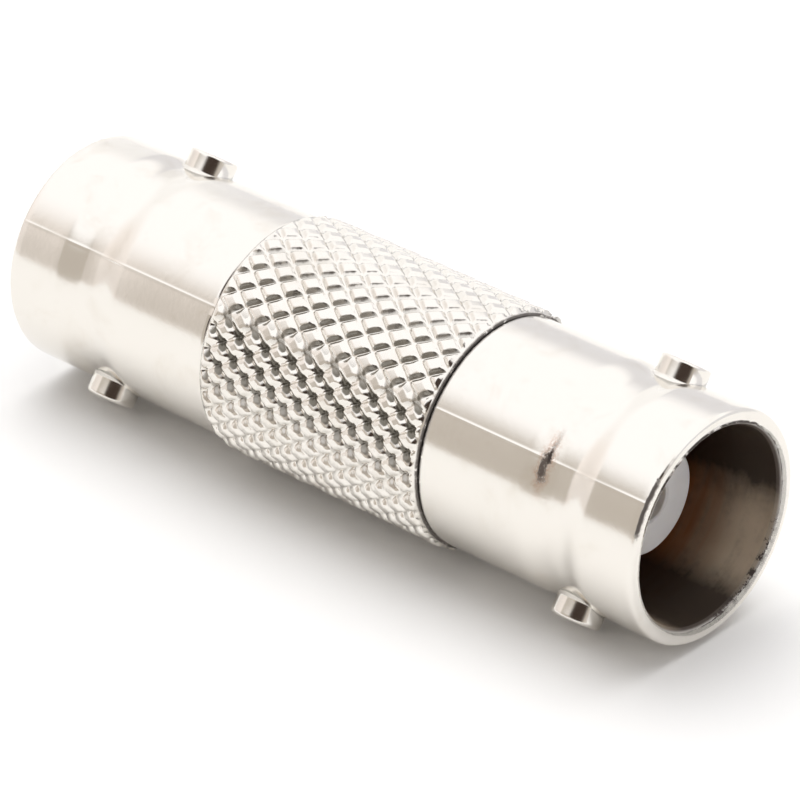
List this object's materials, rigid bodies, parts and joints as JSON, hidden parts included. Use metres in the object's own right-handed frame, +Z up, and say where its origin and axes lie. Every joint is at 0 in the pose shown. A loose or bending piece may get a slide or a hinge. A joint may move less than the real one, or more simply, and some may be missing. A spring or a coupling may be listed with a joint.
{
  "type": "bnc connector",
  "caption": "Straight coaxial coupler with a bayonet socket at each end, two lugs on each barrel and a diamond-knurled sleeve.",
  "frame": {"origin": "on the cable axis, halfway between the two mouths", "axes": "+X along the cable axis towards the mouth of the end shell, +Z up as the coupler lies on its sleeve, with its two lower lugs just clear of the table"},
  "size_m": [0.033, 0.0102, 0.0102],
  "materials": {
    "nickel_plating": "bright nickel plating over a die casting, warm toned and slightly uneven",
    "insulator_plastic": "smooth white moulded plastic",
    "contact_brass": "dull brass"
  },
  "bodies": {
    "root": {"main_shell": "nickel_plating", "end_shell": "nickel_plating", "main_insulator": "insulator_plastic", "end_insulator": "insulator_plastic", "centre_contact": "contact_brass"}
  },
  "joints": []
}
